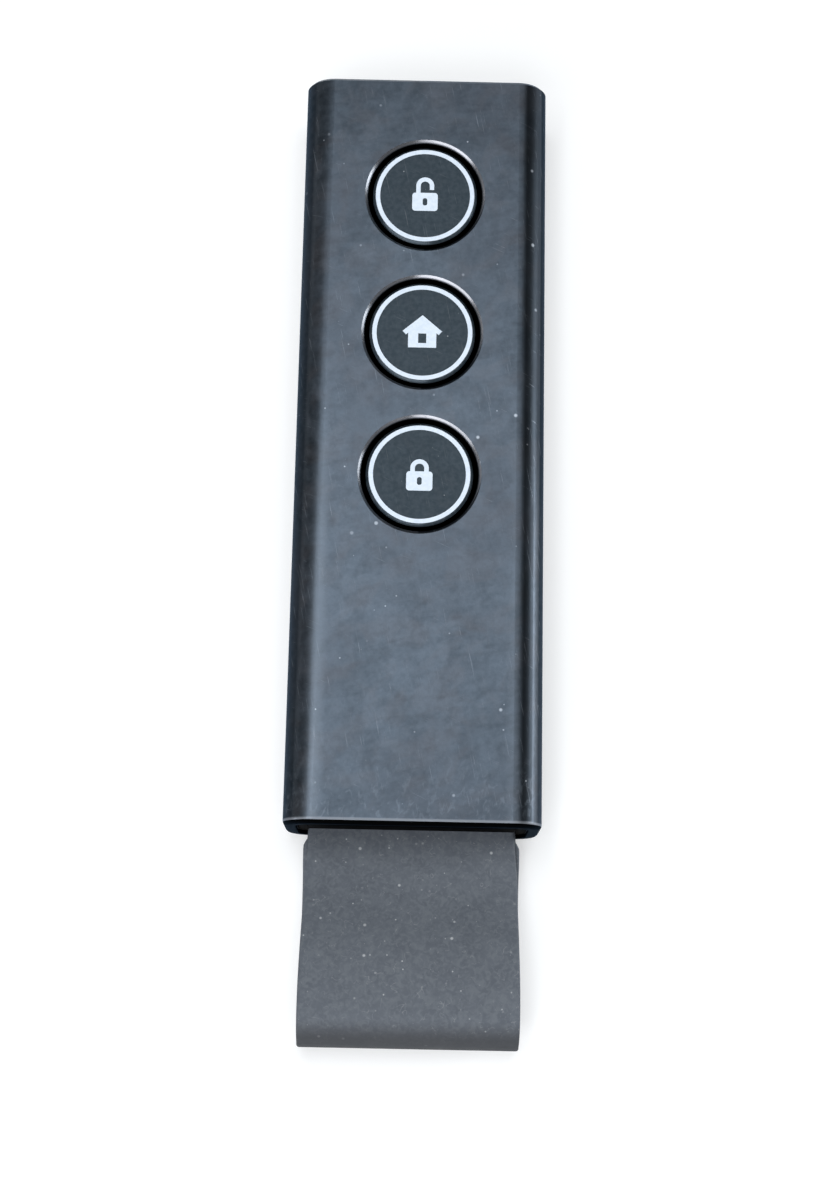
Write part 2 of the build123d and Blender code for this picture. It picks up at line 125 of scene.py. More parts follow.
# Padlocks, before the figure scale: body, keyhole, and the bow with its legs' ends and its round's centre
LOCK_WIDTH = 2.3
LOCK_HEIGHT = 1.75
LOCK_CORNER = 0.28
LOCK_MIDDLE = -0.62
KEYHOLE_WIDTH = 0.42
KEYHOLE_HEIGHT = 0.72
KEYHOLE_CORNER = 0.2
BOW_WIDTH = 1.62
BOW_LINE = 0.40
BOW_LOW = 0.255
BOW_HIGH_OPEN = 0.95
BOW_HIGH_SHUT = 0.55
BOW_STEPS = 20

# House, before the figure scale: its ridge, its right side from the eaves down, and its door
HOUSE_RIDGE = (0, 1.62)
HOUSE_SIDE = ((1.75, 0.12), (1.45, -0.22), (1.25, -0.05), (1.25, -1.42))
DOOR_SIDE = 0.36
DOOR_LOW = -1.0
DOOR_HIGH = -0.1


def corners(node):
    """Lowest and highest corner of a CAD node, in millimetres."""
    low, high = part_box(node)
    return [c / MM for c in low], [c / MM for c in high]


def middle_y(node):
    """Middle of a CAD node along the fob."""
    low, high = corners(node)
    return (low[1] + high[1]) / 2


sleeve_low, sleeve_high = corners("sleeve")
MOUTH_Y = sleeve_low[1]
FRONT_Z = sleeve_high[2]


class Shader:
    """A material, with short calls that add and link its nodes. Lengths are in millimetres."""

    def __init__(self, name):
        self.material = bpy.data.materials.new(name)
        self.material.use_nodes = True
        self.tree = self.material.node_tree
        self.surface = self.tree.nodes["Principled BSDF"]
        place = self.tree.nodes.new("ShaderNodeTexCoord").outputs["Object"]
        self.place = self.scaled(place, (1 / MM, 1 / MM, 1 / MM))

    def feed(self, socket, value):
        """Links a socket to a socket, or sets its value."""
        if isinstance(value, bpy.types.NodeSocket):
            self.tree.links.new(value, socket)
        else:
            socket.default_value = value

    def scaled(self, vector, factors):
        """A vector times three factors."""
        node = self.tree.nodes.new("ShaderNodeVectorMath")
        node.operation = "MULTIPLY"
        self.feed(node.inputs[0], vector)
        self.feed(node.inputs[1], factors)
        return node.outputs[0]

    def turned(self, vector, degrees):
        """A vector turned about Z."""
        node = self.tree.nodes.new("ShaderNodeVectorRotate")
        node.rotation_type = "Z_AXIS"
        self.feed(node.inputs["Vector"], vector)
        self.feed(node.inputs["Angle"], math.radians(degrees))
        return node.outputs[0]

    def axes(self):
        """The three parts of the place that is shaded."""
        node = self.tree.nodes.new("ShaderNodeSeparateXYZ")
        self.feed(node.inputs[0], self.place)
        return node.outputs

    def math(self, operation, *values):
        """One math node."""
        node = self.tree.nodes.new("ShaderNodeMath")
        node.operation = operation
        for socket, value in zip(node.inputs, values):
            self.feed(socket, value)
        return node.outputs[0]

    def chain(self, operation, values):
        """Values joined one after the other by math nodes of one kind."""
        return reduce(lambda first, second: self.math(operation, first, second), values)

    def times(self, *values):
        """The product of values."""
        return self.chain("MULTIPLY", values)

    def plus(self, *values):
        """The sum of values."""
        return self.chain("ADD", values)

    def most(self, *values):
        """The largest of values."""
        return self.chain("MAXIMUM", values)

    def minus(self, first, second):
        """The first value less the second."""
        return self.math("SUBTRACT", first, second)

    def apart(self, first, second):
        """How far two values are apart."""
        return self.math("ABSOLUTE", self.minus(first, second))

    def under(self, value, limit):
        """One where a value is less than a limit."""
        return self.math("LESS_THAN", value, limit)

    def over(self, value, limit):
        """One where a value is more than a limit."""
        return self.math("GREATER_THAN", value, limit)

    def reach(self, x, y):
        """Distance of a place from the middle of two axes."""
        return self.math("SQRT", self.plus(self.times(x, x), self.times(y, y)))

    def step(self, value, start, end, low=0.0, high=1.0):
        """Runs smoothly from low at start to high at end."""
        node = self.tree.nodes.new("ShaderNodeMapRange")
        node.interpolation_type = "SMOOTHSTEP"
        flip = start > end
        self.feed(node.inputs["Value"], value)
        self.feed(node.inputs["From Min"], end if flip else start)
        self.feed(node.inputs["From Max"], start if flip else end)
        self.feed(node.inputs["To Min"], high if flip else low)
        self.feed(node.inputs["To Max"], low if flip else high)
        return node.outputs["Result"]

    def fade(self, mask, left):
        """One where a mask is none, down to what is left where it is full."""
        return self.step(mask, 0.0, 1.0, 1.0, left)

    def noise(self, scale, detail=2.0, stretch=(1, 1, 1), turn=0.0, shift=0.0, swirl=0.0):
        """Noise with so many cells in a millimetre."""
        node = self.tree.nodes.new("ShaderNodeTexNoise")
        vector = self.turned(self.place, turn) if turn else self.place
        vector = self.scaled(vector, stretch)
        node.noise_dimensions = "4D"
        self.feed(node.inputs["Vector"], vector)
        self.feed(node.inputs["W"], shift)
        self.feed(node.inputs["Scale"], scale)
        self.feed(node.inputs["Detail"], detail)
        self.feed(node.inputs["Distortion"], swirl)
        return node.outputs["Fac"]

    def threads(self, scale, thin, share, shift):
        """Short thin curved lines, where a noise passes its middle and a second noise lets it show."""
        course = self.noise(scale, detail=1.0, shift=shift)
        line = self.step(self.apart(course, 0.5), thin, thin * 0.3)
        shown = self.step(self.noise(scale * 0.9, shift=shift + 1.7), share, share + 0.05)
        return self.times(line, shown)

    def specks(self, per_mm, radius, share):
        """Small round specks: one in each cell, of which only a share is kept."""
        node = self.tree.nodes.new("ShaderNodeTexVoronoi")
        self.feed(node.inputs["Vector"], self.place)
        self.feed(node.inputs["Scale"], per_mm)
        near = self.step(node.outputs["Distance"], radius * per_mm, radius * per_mm * 0.4)
        pick = self.tree.nodes.new("ShaderNodeSeparateColor")
        self.feed(pick.inputs[0], node.outputs["Color"])
        kept = self.under(pick.outputs[0], share)
        strength = self.step(pick.outputs[1], 0.0, 1.0, 0.3, 1.0)
        return self.times(near, kept, strength)

    def mix(self, share, first, second):
        """A colour between two colours."""
        node = self.tree.nodes.new("ShaderNodeMix")
        node.data_type = "RGBA"
        self.feed(node.inputs[0], share)
        for socket, value in ((node.inputs[6], first), (node.inputs[7], second)):
            self.feed(socket, value if isinstance(value, bpy.types.NodeSocket) else (*value, 1))
        return node.outputs[2]

    def coats(self, colour, *layers):
        """A colour under layers, the last one on top. Each has a mask and a coat: its share and colour."""
        for mask, (share, coat) in layers:
            colour = self.mix(self.times(mask, share), colour, coat)
        return colour

    def bump(self, height, depth, strength=1.0, under=None):
        """A bump of so many millimetres, on top of another one if there is one under it."""
        node = self.tree.nodes.new("ShaderNodeBump")
        self.feed(node.inputs["Height"], height)
        self.feed(node.inputs["Distance"], depth * MM)
        self.feed(node.inputs["Strength"], strength)
        if under:
            self.feed(node.inputs["Normal"], under)
        return node.outputs[0]

    def finish(self, **sockets):
        """Feeds the surface shader, with spaces for the underscores in the names."""
        for name, value in sockets.items():
            self.feed(self.surface.inputs[name.replace("_", " ")], value)
        return self.material


def scratches(s):
    """Sparse fine lines in two directions."""
    lengthwise = s.noise(scale=1.0, detail=3.0, stretch=(9.0, 0.22, 1.0), turn=-12, shift=3.0)
    crosswise = s.noise(scale=1.0, detail=3.0, stretch=(0.35, 11.0, 1.0), turn=24, shift=7.0)
    return s.most(s.step(lengthwise, 0.645, 0.70), s.step(crosswise, 0.665, 0.72))


# Colours of the housing's plastic, of its rims with the painted highlight on their upper right, and of what
# it reflects
HOUSING_DARK = (0.013, 0.017, 0.021)
HOUSING_PALE = (0.024, 0.029, 0.035)
HOUSING_TINT = (0.65, 0.80, 1.0, 1)
RIM_PLAIN = (0.10, 0.103, 0.112)
RIM_HIGHLIGHT = (0.27, 0.275, 0.295)

# Coats on the housing, each with its share and its colour
HAZE = (0.5, (0.034, 0.037, 0.044))
GREASE = (0.42, (0.060, 0.066, 0.078))
FILM = (0.22, (0.052, 0.040, 0.036))
# Painted highlight along the long edges
EDGE_HIGHLIGHT = (0.46, (0.11, 0.125, 0.145))
# Painted shade on the rounding on the right
SHADE = (1.0, (0.004, 0.005, 0.006))
SCUFFS = (0.45, (0.11, 0.125, 0.145))
SCRATCHES = (0.30, (0.22, 0.24, 0.27))
DUST = (0.60, (0.50, 0.53, 0.58))
# Painted highlight along the mouth's edge
LIP_HIGHLIGHT = (0.9, (0.20, 0.21, 0.23))
# Painted shade, black: in the holes' depths, on the end face and inside the mouth
SHADE_BLACK = (1.0, (0.002, 0.002, 0.002))

# Roughness of the hole depths and of the end face, both painted black as shade, what scratches add to it and
# what rims leave of it, and how metallic the rims are
DEEP_ROUGH = 0.45
END_ROUGH = 0.85
SCRATCH_ROUGH = -0.08
RIM_POLISH = 0.75
RIM_METALLIC = 0.92

# Bevelled rims of the button holes: the CAD model's radius and depth, the depth where they shine in full,
# the skin of the front that isn't part of them, and how far to the upper right a painted highlight brightens
# them
RIM_RADIUS = 6.41
RIM_DEPTH = 0.345
RIM_BRIGHT = 0.15
RIM_SKIN = 0.003
HIGHLIGHT_START = -1.0
HIGHLIGHT_FULL = 6.5

# Mouth: the end face painted black as shade, the painted highlight along the edge beside it, the shade
# inside, and the scuffs' reach
END_FACE = 0.40
LIP_FULL = 0.52
LIP_END = 0.72
INNER_SHADE = 0.6
WORN_REACH = 9.0

# How much less the front reflects in patches, in streaks and in fine mottling
PATCH_SHARE = 0.26
STREAK_SHARE = 0.16
FINE_SHARE = 0.12

# Flanks, which reflect less and are less worn: how far below the front they start and are full, how much
# lower on the right, and how wide the change between the sides is
FLANK_SHARE = 0.95
FLANK_ROUGH = 0.62
FLANK_WEAR = 0.25
FLANK_START = 0.35
FLANK_FULL = 0.9
RIGHT_FLANK_DROP = 0.55
SIDE_BLEND = 1.0

# Painted shade on the rounding on the right: its depths below the front, and where along the fob all of it is
# shaded
SHOULDER_SHARE = 0.72
SHOULDER_START = 0.16
SHOULDER_END = 0.62
SHOULDER_FADE = 0.124
FAR_SHARE = 0.7
FAR_START = -18.0
FAR_FULL = 3.0

# Painted highlight in lines along both long edges, more so on the left and towards the mouth
EDGE_LINE = 10.05
EDGE_REACH = 1.3
EDGE_RIGHT_SHARE = 0.4
EDGE_START = 14.0
EDGE_FULL = -20.0


def housing_plastic():
    """Dark satin plastic: mottled by handling, finely scratched, dusty, polished at the hole rims, with
    painted highlights and shade.
    """
    s = Shader("housing_plastic")
    x, y, z = s.axes()
    lines = scratches(s)
    haze = s.noise(scale=0.10, detail=4.0, stretch=(1.0, 0.7, 1.0), turn=20, shift=1.0)
    wiped = s.noise(scale=0.55, detail=5.0, stretch=(1.0, 0.55, 1.0), turn=-8, shift=2.0)
    rim, hollow, brightened = hole_masks(s, x, y, z)
    flank = flank_mask(s, x, z)
    # Where the rounding on the right gets painted shade
    right_shade = painted_right_shade(s, x, y, z)
    # Painted highlight along the mouth's edge
    lip_highlight = s.step(y, MOUTH_Y + LIP_END, MOUTH_Y + LIP_FULL)
    end_face = s.under(y, MOUTH_Y + END_FACE)
    # Painted shade: the holes' depths and the end face are painted black
    shaded_black = s.most(hollow, end_face)
    colour = s.coats(
        handled_colour_with_painted_light(s, haze, wiped, lines, flank, right_shade),
        # Rims: polished, and brighter on the upper right where a highlight is painted on
        (rim, (1.0, s.mix(brightened, RIM_PLAIN, RIM_HIGHLIGHT))),
        (lip_highlight, LIP_HIGHLIGHT),
        (shaded_black, SHADE_BLACK),
    )
    hazy = s.step(haze, 0.3, 0.7, low=0.31, high=0.37)
    greasy = s.step(wiped, 0.45, 0.75, low=0.0, high=0.06)
    rough = s.times(s.plus(hazy, greasy, s.times(lines, SCRATCH_ROUGH)), s.fade(rim, RIM_POLISH))
    rough = s.most(rough, s.times(shaded_black, DEEP_ROUGH), s.times(end_face, END_ROUGH))
    rough = s.most(rough, s.times(flank, FLANK_ROUGH))
    unlit = s.most(dull_share(s), s.times(flank, FLANK_SHARE), right_shade, shaded_black)
    metallic = s.most(s.times(rim, RIM_METALLIC), unlit)
    grain = s.bump(s.noise(scale=14.0, detail=2.0), depth=0.004, strength=0.35)
    cut = s.bump(lines, depth=-0.004, strength=0.6, under=grain)
    return s.finish(Base_Color=colour, Roughness=rough, Metallic=metallic, Normal=cut,
                    Specular_Tint=HOUSING_TINT, Specular_IOR_Level=0.80)


def handled_colour_with_painted_light(s, haze, wiped, lines, flank, right_shade):
    """The mottled plastic under haze, grease, a film, a painted highlight along the long edges, painted shade
    on the right rounding, scuffs, scratches and dust.
    """
    x, y, z = s.axes()
    open_face = s.fade(flank, FLANK_WEAR)
    mottle = s.noise(scale=1.7, detail=5.0, shift=12.0)
    film = s.noise(scale=0.38, detail=6.0, stretch=(1.0, 0.7, 1.0), turn=60, shift=53.0, swirl=0.6)
    scuffs = s.noise(scale=1.6, detail=8.0, stretch=(1.0, 0.6, 1.0), turn=12, shift=31.0, swirl=0.8)
    worn = s.step(y, MOUTH_Y + WORN_REACH, MOUTH_Y)
    dust = s.most(
        s.specks(per_mm=0.36, radius=0.26, share=0.60),
        s.specks(per_mm=0.9, radius=0.12, share=0.16),
    )
    return s.coats(
        s.mix(s.step(mottle, 0.30, 0.70), HOUSING_DARK, HOUSING_PALE),
        (s.step(haze, 0.40, 0.70), HAZE),
        (s.times(s.step(wiped, 0.52, 0.72), open_face), GREASE),
        (s.times(s.step(film, 0.46, 0.62), open_face), FILM),
        # Painted highlight along the long edges of the front
        (s.times(edge_highlight(s, x, y), open_face), EDGE_HIGHLIGHT),
        # Painted shade on the rounding on the right
        (right_shade, SHADE),
        (s.times(s.step(scuffs, 0.50, 0.70), worn), SCUFFS),
        (lines, SCRATCHES),
        (s.times(dust, open_face), DUST),
    )


def dull_share(s):
    """How much less the front reflects."""
    patches = s.noise(scale=0.42, detail=7.0, stretch=(1.0, 0.8, 1.0), turn=35, shift=41.0, swirl=0.5)
    streaks = s.noise(scale=0.9, detail=6.0, stretch=(0.35, 1.0, 1.0), turn=-12, shift=47.0, swirl=1.1)
    fine = s.noise(scale=3.6, detail=4.0, shift=59.0)
    return s.plus(
        s.step(patches, 0.38, 0.64, high=PATCH_SHARE),
        s.step(streaks, 0.42, 0.66, high=STREAK_SHARE),
        s.step(fine, 0.36, 0.64, high=FINE_SHARE),
    )


def by_side(s, x, left, right):
    """One value left of the middle and another one right of it."""
    return s.step(x, -SIDE_BLEND, SIDE_BLEND, left, right)


def flank_mask(s, x, z):
    """One on the flanks and the back, none on the front."""
    raised = s.plus(z, by_side(s, x, 0.0, RIGHT_FLANK_DROP))
    return s.step(raised, FRONT_Z - FLANK_START, FRONT_Z - FLANK_FULL)


def painted_right_shade(s, x, y, z):
    """How strongly the rounding on the right is painted with shade: its upper part, and all of it far from
    the mouth.
    """
    depth = s.minus(FRONT_Z, z)
    near = s.step(depth, SHOULDER_END + SHOULDER_FADE, SHOULDER_END, high=SHOULDER_SHARE)
    far = s.step(y, FAR_START, FAR_FULL, high=FAR_SHARE)
    return s.times(s.step(depth, 0.0, SHOULDER_START), s.most(near, far), s.over(x, 0.0))


def edge_highlight(s, x, y):
    """How strongly the long edges of the front get their painted highlight."""
    away = s.apart(s.math("ABSOLUTE", x), EDGE_LINE)
    line = s.step(away, EDGE_REACH, 0.0)
    return s.times(line, by_side(s, x, 1.0, EDGE_RIGHT_SHARE), s.step(y, EDGE_START, EDGE_FULL))


def hole_masks(s, x, y, z):
    """Masks of the three holes: their bevelled rims, all that lies deeper, which is painted black as shade,
    and the side where the rims get a painted highlight.
    """
    holes, sides = [], []
    for name in BUTTONS:
        across = s.minus(y, middle_y(name + "_button_cap"))
        hole = s.under(s.reach(x, across), RIM_RADIUS)
        holes.append(hole)
        # The upper right side of each rim, where a highlight is painted on
        sides.append(s.times(hole, s.step(s.plus(x, across), HIGHLIGHT_START, HIGHLIGHT_FULL)))
    inside = s.times(s.most(*holes), s.under(z, FRONT_Z - RIM_SKIN))
    bevel = s.step(z, FRONT_Z - RIM_DEPTH, FRONT_Z - RIM_BRIGHT)
    return s.times(inside, bevel), s.times(inside, s.minus(1.0, bevel)), s.most(*sides)


# Caps: colours of their plastic and reflection, and coats with their shares, the last one painted shade on
# the side wall
CAP_DARK = (0.013, 0.020, 0.026)
CAP_PALE = (0.028, 0.036, 0.044)
CAP_TINT = (0.68, 0.85, 1.0, 1)
CAP_GREASE = (0.35, (0.055, 0.062, 0.070))
CAP_SCRATCHES = (0.25, (0.20, 0.21, 0.22))
CAP_DUST = (0.7, (0.5, 0.52, 0.53))
CAP_WALL_SHADE = (1.0, (0.0, 0.0, 0.0))

# Depths below a cap's top where its side wall starts and is full and where its edge starts, and what the
# edge leaves of the roughness
CAP_WALL_START = 0.27
CAP_WALL_FULL = 0.33
CAP_SKIN = 0.004
CAP_POLISH = 0.4


def cap_plastic():
    """The caps' plastic, matter than the housing, with fine scratches, dust and a side wall painted black as
    shade.
    """
    s = Shader("cap_plastic")
    x, y, z = s.axes()
    wiped = s.noise(scale=0.8, detail=5.0, stretch=(1.0, 0.6, 1.0), turn=-30, shift=5.0)
    mottle = s.noise(scale=2.2, detail=4.0, shift=15.0)
    lines = scratches(s)
    dust = s.most(
        s.specks(per_mm=0.8, radius=0.09, share=0.22),
        s.specks(per_mm=1.6, radius=0.05, share=0.12),
    )
    top = corners(BUTTONS[0] + "_button_cap")[1][2]
    # Painted shade: the side wall in the gap round the cap is painted black and made unreflecting
    wall = s.step(z, top - CAP_WALL_START, top - CAP_WALL_FULL)
    colour = s.coats(
        s.mix(s.step(mottle, 0.3, 0.7), CAP_DARK, CAP_PALE),
        (s.step(wiped, 0.52, 0.75), CAP_GREASE),
        (lines, CAP_SCRATCHES),
        (dust, CAP_DUST),
        # Painted shade on the side wall
        (wall, CAP_WALL_SHADE),
    )
    edge = s.times(s.under(z, top - CAP_SKIN), s.minus(1.0, wall))
    rough = s.times(s.step(wiped, 0.3, 0.75, low=0.48, high=0.56), s.fade(edge, CAP_POLISH))
    grain = s.bump(s.noise(scale=16.0, detail=2.0), depth=0.004, strength=0.4)
    return s.finish(Base_Color=colour, Roughness=rough, Metallic=wall, Normal=grain,
                    Specular_Tint=CAP_TINT, Specular_IOR_Level=0.38)


# White ink: its two tones, and where it is worn
INK_PLAIN = (0.62, 0.70, 0.80)
INK_BRIGHT = (0.70, 0.77, 0.86)
INK_WORN = (0.35, 0.38, 0.42)


def print_white():
    """White ink, slightly uneven, worn at a few points."""
    s = Shader("print_white")
    wear = s.noise(scale=3.5, detail=4.0, shift=9.0)
    colour = s.mix(s.step(wear, 0.3, 0.7), INK_PLAIN, INK_BRIGHT)
    colour = s.mix(s.step(wear, 0.74, 0.80), colour, INK_WORN)
    return s.finish(Base_Color=colour, Roughness=0.5)


# Strap: colours, coats with their shares, and how far from its tip the painted shade round the fold starts
# and is full
STRAP_DARK = (0.086, 0.096, 0.114)
STRAP_PALE = (0.104, 0.115, 0.134)
STRAP_BLOOM = (0.55, (0.148, 0.162, 0.178))
STRAP_FLUFF = (0.30, (0.30, 0.31, 0.32))
STRAP_DUST = (0.75, (0.46, 0.47, 0.48))
# Painted shade round the fold
STRAP_FOLD_SHADE = (0.8, (0.036, 0.037, 0.040))
FOLD_SHADE_START = 3.0
FOLD_SHADE_FULL = 0.75


def strap_silicone():
    """Grey silicone: matt, mottled, dusty and linty, with painted shade darkening it round the fold."""
    s = Shader("strap_silicone")
    mottle = s.noise(scale=0.45, detail=4.0, shift=2.0)
    bloom = s.noise(scale=1.6, detail=6.0, shift=4.0, swirl=1.2)
    fluff = s.most(
        s.threads(scale=0.9, thin=0.012, share=0.56, shift=6.0),
        s.threads(scale=1.7, thin=0.014, share=0.58, shift=8.0),
    )
    dust = s.most(
        s.specks(per_mm=0.55, radius=0.21, share=0.65),
        s.specks(per_mm=1.2, radius=0.11, share=0.35),
        s.specks(per_mm=2.4, radius=0.04, share=0.25),
    )
    tip = corners("strap")[0][1]
    # Painted shade round the fold, from near the strap's tip
    fold_shade = s.step(s.axes()[1], tip + FOLD_SHADE_START, tip + FOLD_SHADE_FULL)
    colour = s.coats(
        s.mix(s.step(mottle, 0.3, 0.7), STRAP_DARK, STRAP_PALE),
        (s.step(bloom, 0.38, 0.68), STRAP_BLOOM),
        (fluff, STRAP_FLUFF),
        (dust, STRAP_DUST),
        (fold_shade, STRAP_FOLD_SHADE),
    )
    rough = s.step(mottle, 0.3, 0.7, low=0.68, high=0.80)
    skin = s.bump(s.noise(scale=7.0, detail=4.0), depth=0.012, strength=0.5)
    return s.finish(Base_Color=colour, Roughness=rough, Normal=skin, Specular_IOR_Level=0.30)


# Inner plastic: colours, and the coat of its rub marks with its share
INNER_DARK = (0.009, 0.009, 0.010)
INNER_PALE = (0.016, 0.016, 0.017)
INNER_RUBBED = (0.25, (0.045, 0.045, 0.046))


def inner_plastic():
    """Black moulded plastic with a fine grain and faint rub marks along the slide, unlit in the mouth."""
    s = Shader("inner_plastic")
    patch = s.noise(scale=0.4, detail=3.0)
    brightened = s.noise(scale=1.0, detail=4.0, stretch=(3.0, 0.12, 3.0), shift=3.0)
    shaded = s.under(s.axes()[1], MOUTH_Y + INNER_SHADE)
    colour = s.coats(
        s.mix(s.step(patch, 0.3, 0.7), INNER_DARK, INNER_PALE),
        (s.step(brightened, 0.60, 0.72), INNER_RUBBED),
        (shaded, SHADE_BLACK),
    )
    rough = s.most(s.step(brightened, 0.45, 0.70, low=0.58, high=0.44), shaded)
    grain = s.bump(s.noise(scale=9.0, detail=3.0), depth=0.010, strength=0.6)
    return s.finish(Base_Color=colour, Roughness=rough, Metallic=shaded, Normal=grain,
                    Specular_IOR_Level=0.30)


# Circuit board: colours, and half the pitch and the edges of its tracks and its weave
MASK_DARK = (0.010, 0.060, 0.026)
MASK_ON_COPPER = (0.018, 0.120, 0.048)
PAD_GOLD = (0.60, 0.50, 0.26)
TRACK_HALF_PITCH = 0.45
TRACK_START = 0.13
TRACK_FULL = 0.10
TRACK_WANDER = 3.0
WEAVE_HALF_PITCH = 0.2


def board_laminate():
    """Green solder mask over copper tracks and a copper fill, with plated pads."""
    s = Shader("board_laminate")
    x, y, z = s.axes()
    wander = s.times(s.noise(scale=0.16, detail=1.0, stretch=(0.4, 1.0, 1.0)), TRACK_WANDER)
    lanes = s.math("PINGPONG", s.plus(x, wander), TRACK_HALF_PITCH)
    fill = s.step(s.noise(scale=0.22, detail=1.0, shift=3.0), 0.50, 0.515)
    copper = s.most(s.step(lanes, TRACK_START, TRACK_FULL), fill)
    pads = s.step(s.specks(per_mm=0.55, radius=0.22, share=0.55), 0.15, 0.35)
    colour = s.mix(pads, s.mix(copper, MASK_DARK, MASK_ON_COPPER), PAD_GOLD)
    weave = s.plus(s.math("PINGPONG", x, WEAVE_HALF_PITCH), s.math("PINGPONG", y, WEAVE_HALF_PITCH))
    relief = s.bump(copper, depth=0.035, strength=0.7, under=s.bump(weave, depth=0.01, strength=0.3))
    return s.finish(Base_Color=colour, Roughness=0.30, Normal=relief)


# Cell: its nickel's colours and turned rings, and the plus sign's coat, half length, half line, place, depth
# and added roughness
NICKEL = (0.42, 0.42, 0.408)
NICKEL_STAIN = (0.33, 0.33, 0.320)
RINGS_PER_MM = 6.0
RINGS_DETAIL = 4.0
PLUS_COAT = (0.6, (0.16, 0.16, 0.16))
PLUS_ARM = 1.9
PLUS_LINE = 0.28
PLUS_SHIFT = -4.2
PLUS_DEPTH = 0.05
PLUS_ROUGH = 0.25


def cell_can():
    """Nickel-plated can: faintly turned in rings, with a plus sign pressed into its upper face."""
    s = Shader("cell_can")
    x, y, z = s.axes()
    across = s.minus(y, middle_y("coin_cell"))
    rings = s.tree.nodes.new("ShaderNodeTexNoise")
    rings.noise_dimensions = "1D"
    s.feed(rings.inputs["W"], s.reach(x, across))
    s.feed(rings.inputs["Scale"], RINGS_PER_MM)
    s.feed(rings.inputs["Detail"], RINGS_DETAIL)
    turned = rings.outputs["Fac"]
    stain = s.noise(scale=0.25, detail=4.0, shift=5.0)
    side = s.math("ABSOLUTE", x)
    along = s.apart(across, PLUS_SHIFT)
    bar = s.times(s.under(side, PLUS_ARM), s.under(along, PLUS_LINE))
    post = s.times(s.under(side, PLUS_LINE), s.under(along, PLUS_ARM))
    plus = s.times(s.most(bar, post), s.over(z, corners("coin_cell")[1][2] - PLUS_DEPTH))
    colour = s.coats(s.mix(s.step(stain, 0.35, 0.7), NICKEL, NICKEL_STAIN), (plus, PLUS_COAT))
    rough = s.plus(s.step(turned, 0.3, 0.7, low=0.42, high=0.52), s.times(plus, PLUS_ROUGH))
    pressed = s.bump(plus, depth=-PLUS_DEPTH, strength=0.8, under=s.bump(turned, depth=0.0015, strength=0.3))
    return s.finish(Base_Color=colour, Metallic=1.0, Roughness=rough, Normal=pressed)


def metal(name, colour, rough, stretch, variation):
    """Metal with a drawn or rolled grain."""
    s = Shader(name)
    grain = s.noise(scale=1.0, detail=4.0, stretch=stretch)
    dark = tuple(c * (1 - 2 * variation) for c in colour)
    tint = s.mix(s.step(grain, 0.3, 0.7), dark, colour)
    roughness = s.step(grain, 0.3, 0.7, rough - SMOOTHER, rough + ROUGHER)
    lines = s.bump(grain, depth=0.002, strength=0.3)
    return s.finish(Base_Color=tint, Metallic=1.0, Roughness=roughness, Normal=lines)


def dark_compound(name, colour, rough):
    """Moulding compound or nylon with a fine grain."""
    s = Shader(name)
    grain = s.noise(scale=9.0, detail=3.0)
    tint = s.mix(s.step(grain, 0.35, 0.65), colour, tuple(c * 1.5 for c in colour))
    return s.finish(Base_Color=tint, Roughness=rough, Normal=s.bump(grain, depth=0.006, strength=0.4))


# Metals, moulding compound and nylon, and how far the metals' roughness lies below and above its mean
STEEL = (0.48, 0.48, 0.47)
GOLD = (0.60, 0.46, 0.22)
ZINC = (0.44, 0.44, 0.455)
CHIP_BLACK = (0.014, 0.014, 0.015)
NYLON_BLACK = (0.03, 0.03, 0.03)
SMOOTHER = 0.04
ROUGHER = 0.06


def dress_frame():
    """Gives every CAD node its own finish."""
    finishes = {
        "housing_plastic": housing_plastic(),
        "cap_plastic": cap_plastic(),
        "inner_plastic": inner_plastic(),
        "board_laminate": board_laminate(),
        "cell_can": cell_can(),
        "strap_silicone": strap_silicone(),
        "sheet_metal": metal("sheet_metal", STEEL, rough=0.42, stretch=(0.4, 12.0, 1.0), variation=0.06),
        "contact_metal": metal("contact_metal", GOLD, rough=0.42, stretch=(12.0, 0.5, 1.0), variation=0.05),
        "screw_metal": metal("screw_metal", ZINC, rough=0.44, stretch=(6.0, 6.0, 6.0), variation=0.10),
        "chip_plastic": dark_compound("chip_plastic", CHIP_BLACK, rough=0.55),
        "plunger_plastic": dark_compound("plunger_plastic", NYLON_BLACK, rough=0.4),
    }
    slots = {part["node"]: part["material_slot"] for part in frame["record"]["subparts"]}
    for node, thing in frame["nodes"].items():
        thing.data.materials.clear()
        thing.data.materials.append(finishes[slots[node]])
    return finishes


def new_piece(name, mesh, material, body):
    """Puts a mesh into the scene as a piece that rides on a body."""
    mesh.materials.clear()
    mesh.materials.append(material)
    thing = bpy.data.objects.new(name, mesh)
    bpy.context.scene.collection.objects.link(thing)
    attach(thing, body)
    return thing


def arc_s(start, run, rise, steps):
    """Points of two equal arcs that leave and arrive level, after the first point."""
    half_run, half_rise = run / 2, rise / 2
    radius = (half_run**2 + half_rise**2) / (2 * abs(half_rise))
    sweep = math.asin(abs(half_run) / radius)
    up = 1 if rise > 0 else -1
    along = 1 if run > 0 else -1
    points = []
    for i in range(1, 2 * steps + 1):
        if i <= steps:
            angle = sweep * i / steps
            y = along * radius * math.sin(angle)
            z = up * radius * (1 - math.cos(angle))
        else:
            angle = sweep * (2 * steps - i) / steps
            y = run - along * radius * math.sin(angle)
            z = rise - up * radius * (1 - math.cos(angle))
        points.append((start[0] + y, start[1] + z))
    return points


